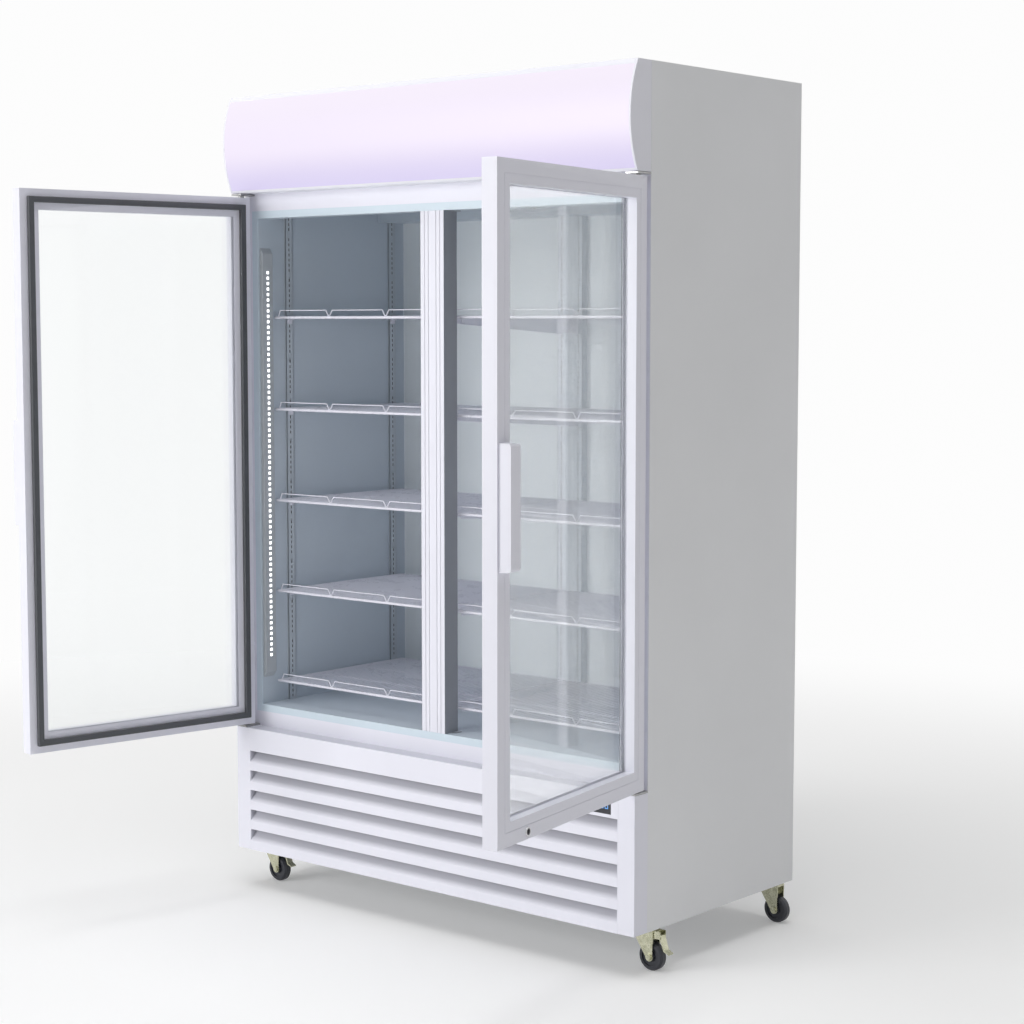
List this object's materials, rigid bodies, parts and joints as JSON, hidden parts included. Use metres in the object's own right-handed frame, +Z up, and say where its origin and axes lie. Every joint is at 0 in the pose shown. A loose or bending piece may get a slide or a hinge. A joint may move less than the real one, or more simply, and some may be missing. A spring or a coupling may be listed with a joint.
{
  "type": "glass door merchandiser",
  "caption": "Upright display refrigerator with hinged glass doors, wire shelves, a curved lit canopy, a louvred base and swivel casters; both doors stand open.",
  "frame": {"origin": "floor level, at the middle of the footprint with both doors standing open", "axes": "+Z up; -Y is the front, which the doors close; +X is to the right of someone who faces the doors"},
  "size_m": [1.5396, 1.2286, 2],
  "materials": {
    "white_sheet": "satin",
    "side_sheet": "satin",
    "galvanised_sheet": null,
    "foam": "matte",
    "liner_sheet": "satin",
    "breaker_plastic": "satin",
    "white_plastic": "satin",
    "post_sheet": "satin",
    "pilaster_sheet": "satin",
    "shelf_wire": "gloss",
    "lit_panel": "satin",
    "lamp_tube": "satin",
    "coil_fins": null,
    "fan_plastic": "satin",
    "guard_wire": "gloss",
    "display_glass": "gloss",
    "compressor_paint": "satin",
    "copper_pipe": "satin",
    "black_plastic": "satin",
    "zinc_plate": null,
    "caster_rubber": "matte",
    "door_glass": null,
    "gasket_rubber": "satin",
    "lock_metal": null,
    "hinge_metal": null
  },
  "bodies": {
    "cabinet": {"left_side_panel": "side_sheet", "right_side_panel": "side_sheet", "back_panel": "galvanised_sheet", "top_panel": "side_sheet", "foam_insulation": "foam", "inner_liner": "liner_sheet", "front_frame": "white_sheet", "breaker_frame": "breaker_plastic", "mullion": "white_plastic", "back_post": "post_sheet", "shelf_pilasters": "pilaster_sheet", "shelf_1": "shelf_wire", "shelf_2": "shelf_wire", "shelf_3": "shelf_wire", "shelf_4": "shelf_wire", "shelf_5": "shelf_wire", "shelf_supports": "shelf_wire", "led_strips": "lamp_tube", "evaporator_cover": "white_sheet", "evaporator_coil": "coil_fins", "evaporator_fan_guards": "guard_wire", "canopy_housing": "white_sheet", "canopy_end_caps": "white_plastic", "light_panel": "lit_panel", "canopy_lamps": "lamp_tube", "base_frame": "galvanised_sheet", "front_posts": "white_sheet", "grille_panel": "white_sheet", "controller": "display_glass", "compressor": "compressor_paint", "condenser_coil": "coil_fins", "condenser_shroud": "galvanised_sheet", "drain_pan": "black_plastic", "refrigerant_pipes": "copper_pipe", "hinge_brackets": "hinge_metal", "caster_plates": "zinc_plate", "cord_gland": "black_plastic"},
    "right_door": {"right_door_frame": "white_plastic", "right_door_glass": "door_glass", "right_door_gasket": "gasket_rubber", "right_door_handle": "white_plastic"},
    "right_lock_core": {"right_door_lock": "lock_metal"},
    "left_door": {"left_door_frame": "white_plastic", "left_door_glass": "door_glass", "left_door_gasket": "gasket_rubber", "left_door_handle": "white_plastic"},
    "left_lock_core": {"left_door_lock": "lock_metal"},
    "evaporator_fan_left": {"evaporator_fan_left": "fan_plastic"},
    "evaporator_fan_right": {"evaporator_fan_right": "fan_plastic"},
    "condenser_fan": {"condenser_fan": "fan_plastic"},
    "caster_front_left": {"caster_fork_front_left": "zinc_plate"},
    "wheel_front_left": {"caster_wheel_front_left": "caster_rubber"},
    "brake_left": {"brake_lever_left": "zinc_plate"},
    "caster_front_right": {"caster_fork_front_right": "zinc_plate"},
    "wheel_front_right": {"caster_wheel_front_right": "caster_rubber"},
    "brake_right": {"brake_lever_right": "zinc_plate"},
    "caster_rear_left": {"caster_fork_rear_left": "zinc_plate"},
    "wheel_rear_left": {"caster_wheel_rear_left": "caster_rubber"},
    "caster_rear_right": {"caster_fork_rear_right": "zinc_plate"},
    "wheel_rear_right": {"caster_wheel_rear_right": "caster_rubber"}
  },
  "joints": [
    {"name": "right_door_hinge", "type": "hinge", "parent": "cabinet", "child": "right_door", "pos_m": [0.619, -0.00371, 1.088], "axis": [0, 0, 1], "range_deg": [-100, 20]},
    {"name": "right_lock_turn", "type": "hinge", "parent": "right_door", "child": "right_lock_core", "pos_m": [0.72239, -0.49218, 0.437], "axis": [0.9848, 0.1736, 0], "range_deg": [0, 90]},
    {"name": "left_door_hinge", "type": "hinge", "parent": "cabinet", "child": "left_door", "pos_m": [-0.619, -0.00371, 1.088], "axis": [0, 0, 1], "range_deg": [-20, 100]},
    {"name": "left_lock_turn", "type": "hinge", "parent": "left_door", "child": "left_lock_core", "pos_m": [-0.72239, -0.49218, 0.437], "axis": [-0.9848, 0.1736, 0], "range_deg": [0, 90]},
    {"name": "evaporator_fan_left_spin", "type": "hinge", "parent": "cabinet", "child": "evaporator_fan_left", "pos_m": [-0.055, 0.47479, 1.81925], "axis": [0, 1, 0], "continuous": true},
    {"name": "evaporator_fan_right_spin", "type": "hinge", "parent": "cabinet", "child": "evaporator_fan_right", "pos_m": [0.3, 0.47479, 1.81925], "axis": [0, 1, 0], "continuous": true},
    {"name": "condenser_fan_spin", "type": "hinge", "parent": "cabinet", "child": "condenser_fan", "pos_m": [-0.3, 0.11629, 0.25], "axis": [0, 1, 0], "continuous": true},
    {"name": "caster_front_left_swivel", "type": "hinge", "parent": "cabinet", "child": "caster_front_left", "pos_m": [-0.6, 0.07829, 0.09], "axis": [0, 0, 1], "continuous": true},
    {"name": "wheel_front_left_roll", "type": "hinge", "parent": "caster_front_left", "child": "wheel_front_left", "pos_m": [-0.588, 0.07829, 0.0325], "axis": [0, 1, 0], "continuous": true},
    {"name": "brake_left_lift", "type": "hinge", "parent": "caster_front_left", "child": "brake_left", "pos_m": [-0.564, 0.07829, 0.08], "axis": [0, 1, 0], "range_deg": [-30, 0]},
    {"name": "caster_front_right_swivel", "type": "hinge", "parent": "cabinet", "child": "caster_front_right", "pos_m": [0.6, 0.07829, 0.09], "axis": [0, 0, 1], "continuous": true},
    {"name": "wheel_front_right_roll", "type": "hinge", "parent": "caster_front_right", "child": "wheel_front_right", "pos_m": [0.612, 0.07829, 0.0325], "axis": [0, 1, 0], "continuous": true},
    {"name": "brake_right_lift", "type": "hinge", "parent": "caster_front_right", "child": "brake_right", "pos_m": [0.636, 0.07829, 0.08], "axis": [0, 1, 0], "range_deg": [-30, 0]},
    {"name": "caster_rear_left_swivel", "type": "hinge", "parent": "cabinet", "child": "caster_rear_left", "pos_m": [-0.6, 0.58329, 0.09], "axis": [0, 0, 1], "continuous": true},
    {"name": "wheel_rear_left_roll", "type": "hinge", "parent": "caster_rear_left", "child": "wheel_rear_left", "pos_m": [-0.588, 0.58329, 0.0325], "axis": [0, 1, 0], "continuous": true},
    {"name": "caster_rear_right_swivel", "type": "hinge", "parent": "cabinet", "child": "caster_rear_right", "pos_m": [0.6, 0.58329, 0.09], "axis": [0, 0, 1], "continuous": true},
    {"name": "wheel_rear_right_roll", "type": "hinge", "parent": "caster_rear_right", "child": "wheel_rear_right", "pos_m": [0.612, 0.58329, 0.0325], "axis": [0, 1, 0], "continuous": true}
  ]
}
